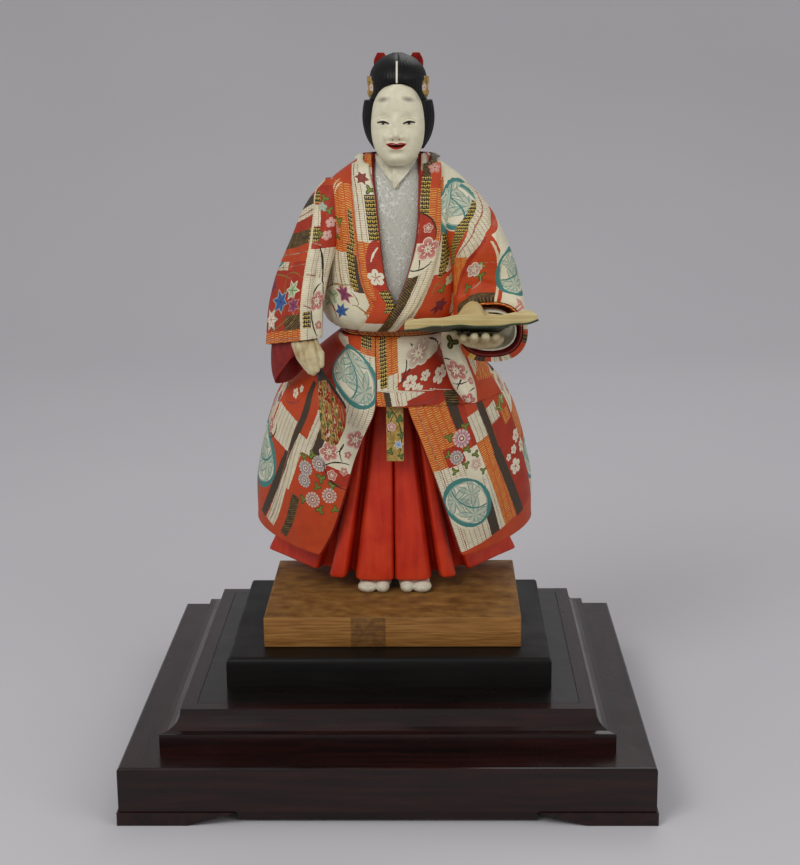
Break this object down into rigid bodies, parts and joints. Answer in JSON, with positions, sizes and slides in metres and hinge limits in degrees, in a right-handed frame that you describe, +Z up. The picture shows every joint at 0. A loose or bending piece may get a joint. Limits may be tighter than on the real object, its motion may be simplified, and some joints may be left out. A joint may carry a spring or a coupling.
{
  "type": "noh doll",
  "caption": "Standing noh theatre figure of carved and painted wood, holding an open book and a folded fan, on a lacquered plinth and a tiered stand with bracket feet.",
  "frame": {"origin": "centre of the stand's footprint on the ground", "axes": "+Z is up, the figure faces -Y, +X is towards the figure's left hand (the viewer's right)"},
  "size_m": [0.29, 0.271, 0.4024],
  "materials": {
    "band_paint": "gold and white with a flower",
    "bare_wood": "chiselled, ochre stain, worn",
    "brass": "dull",
    "collar_paint": "painted brocade bands, raised gold lines",
    "cord_paint": "red-brown paint",
    "cover_paint": "dark green paint",
    "fan_lacquer": "black lacquer",
    "fan_leaf_paint": "gold leaf with green and red painting",
    "gold_paint": "gold paint with green leaves",
    "hair_lacquer": "black, satin, fine combed lines",
    "lining_paint": "crimson paint, matt",
    "page_paint": "cream paint, matt",
    "peg_wood": "bare wood",
    "plinth_lacquer": "black lacquer, satin",
    "ribbon_paint": "red paint",
    "robe_paint": "painted brocade, orange ground with flowers and gold lines",
    "scarlet_paint": "scarlet paint, matt",
    "silver_paint": "white paint with silver raised pattern",
    "skin_paint": "polished shell paint, satin",
    "stand_lacquer": "dark red-brown lacquer, glossy",
    "white_paint": "white shell paint, matt"
  },
  "bodies": {
    "stand": {"stand_rail_front": "stand_lacquer", "stand_apron_front": "stand_lacquer", "stand_moulding_front": "stand_lacquer", "stand_rail_right": "stand_lacquer", "stand_apron_right": "stand_lacquer", "stand_moulding_right": "stand_lacquer", "stand_rail_back": "stand_lacquer", "stand_apron_back": "stand_lacquer", "stand_moulding_back": "stand_lacquer", "stand_rail_left": "stand_lacquer", "stand_apron_left": "stand_lacquer", "stand_moulding_left": "stand_lacquer", "stand_foot_front_right": "stand_lacquer", "stand_foot_front_left": "stand_lacquer", "stand_foot_back_left": "stand_lacquer", "stand_foot_back_right": "stand_lacquer", "stand_deck": "stand_lacquer", "stand_top_panel": "stand_lacquer"},
    "plinth": {"plinth": "plinth_lacquer"},
    "figure": {"base_block": "bare_wood", "tabi_right": "white_paint", "foot_dowel_right": "peg_wood", "tabi_left": "white_paint", "foot_dowel_left": "peg_wood", "hakama_right": "scarlet_paint", "hakama_left": "scarlet_paint", "robe_skirt_right": "robe_paint", "robe_skirt_left": "robe_paint", "inner_robe": "silver_paint", "undercollar_right": "silver_paint", "undercollar_left": "silver_paint", "robe_body_right": "robe_paint", "robe_collar_right": "collar_paint", "robe_body_left": "robe_paint", "robe_collar_left": "collar_paint", "waist_cord": "cord_paint", "sash_end": "gold_paint", "robe_sleeve_right": "robe_paint", "sleeve_lining_right": "lining_paint", "robe_sleeve_left": "robe_paint", "sleeve_lining_left": "lining_paint", "cuff_left": "silver_paint", "hand_right": "skin_paint", "hand_left": "skin_paint"},
    "peg": {"neck_peg": "peg_wood"},
    "head": {"head_core": "skin_paint", "mask": "skin_paint", "hair_crown": "hair_lacquer", "hair_back": "hair_lacquer", "hair_tail": "hair_lacquer", "hair_band": "band_paint", "band_knot": "ribbon_paint", "ribbon_bow": "ribbon_paint"},
    "fan": {"fan_slats": "fan_lacquer", "fan_rivet": "brass", "fan_leaf": "fan_leaf_paint"},
    "book": {"book_pages": "page_paint", "book_cover": "cover_paint"}
  },
  "joints": [
    {"name": "plinth_lift", "type": "slide", "parent": "stand", "child": "plinth", "axis": [0, 0, 1], "range_m": [0, 0.03]},
    {"name": "figure_lift", "type": "slide", "parent": "plinth", "child": "figure", "axis": [0, 0, 1], "range_m": [0, 0.03]},
    {"name": "head_lift", "type": "slide", "parent": "figure", "child": "peg", "axis": [0, 0, 1], "range_m": [0, 0.03]},
    {"name": "head_turn", "type": "hinge", "parent": "peg", "child": "head", "pos_m": [0.0066, 0.009, 0.34], "axis": [0, 0, 1], "range_deg": [-8, 8]},
    {"name": "fan_draw", "type": "slide", "parent": "figure", "child": "fan", "axis": [0.219, -0.301, -0.9281], "range_m": [0, 0.015]},
    {"name": "book_lift", "type": "slide", "parent": "figure", "child": "book", "axis": [0, -0.5, 0.866], "range_m": [0, 0.025]}
  ]
}
